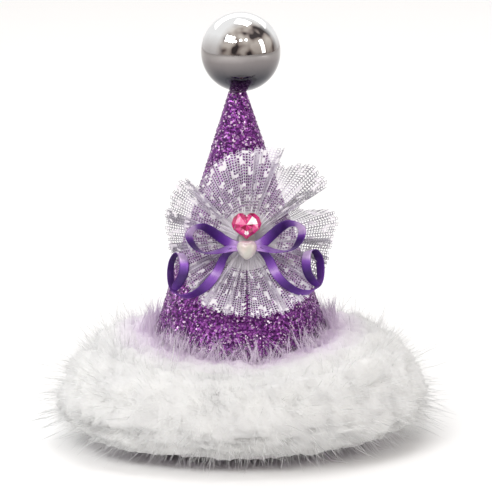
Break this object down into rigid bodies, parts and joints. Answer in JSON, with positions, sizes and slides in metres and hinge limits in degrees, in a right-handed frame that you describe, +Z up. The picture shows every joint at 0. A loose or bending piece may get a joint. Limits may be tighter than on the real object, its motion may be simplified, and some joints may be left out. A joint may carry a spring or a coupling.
{
  "type": "party hat",
  "caption": "Cone party hat in glitter sheet over card, with a mirror ball tip, a gathered lace rosette with ribbon bow and heart stones, and a marabou trimmed rim.",
  "frame": {"origin": "on the table, in the middle of the base, under the cone's axis", "axes": "+Z up along the cone's axis; -Y is the decorated front; +X is to the right as seen from the front"},
  "size_m": [0.202, 0.202, 0.2177],
  "materials": {
    "card": "uncoated greyish white card",
    "glitter_sheet": "purple glitter flakes bonded to a thin sheet",
    "mirror_ball": "vacuum-metallised mirror on moulded plastic",
    "hot_glue": "milky hot-melt glue",
    "felt": "white craft felt",
    "lace": "white net lace with woven dots and a looped edge",
    "thread": "white sewing thread",
    "ribbon": "purple satin with woven edges",
    "foil": "silver backing foil",
    "gem": "clear pink faceted acrylic over foil",
    "pearl": "ivory pearl coating",
    "cord": "white twisted cotton cord",
    "marabou": "white down barbs",
    "eyelet": "nickel-plated, pressed and rolled"
  },
  "bodies": {
    "root": {"card_cone": "card", "glitter_cover": "glitter_sheet", "mirror_ball": "mirror_ball", "ball_glue": "hot_glue", "felt_pad": "felt", "pad_glue": "hot_glue", "lace_ruffle": "lace", "gather_thread": "thread", "centre_glue": "hot_glue", "bow_knot": "ribbon", "bow_loop_left": "ribbon", "bow_loop_right": "ribbon", "bow_tail_left": "ribbon", "bow_tail_right": "ribbon", "gem_glue": "hot_glue", "gem_foil": "foil", "heart_gem": "gem", "pearl_glue": "hot_glue", "heart_pearl": "pearl", "boa_cord": "cord", "trim_glue": "hot_glue", "marabou_fluff": "marabou", "eyelet_left": "eyelet", "eyelet_right": "eyelet"}
  },
  "joints": []
}
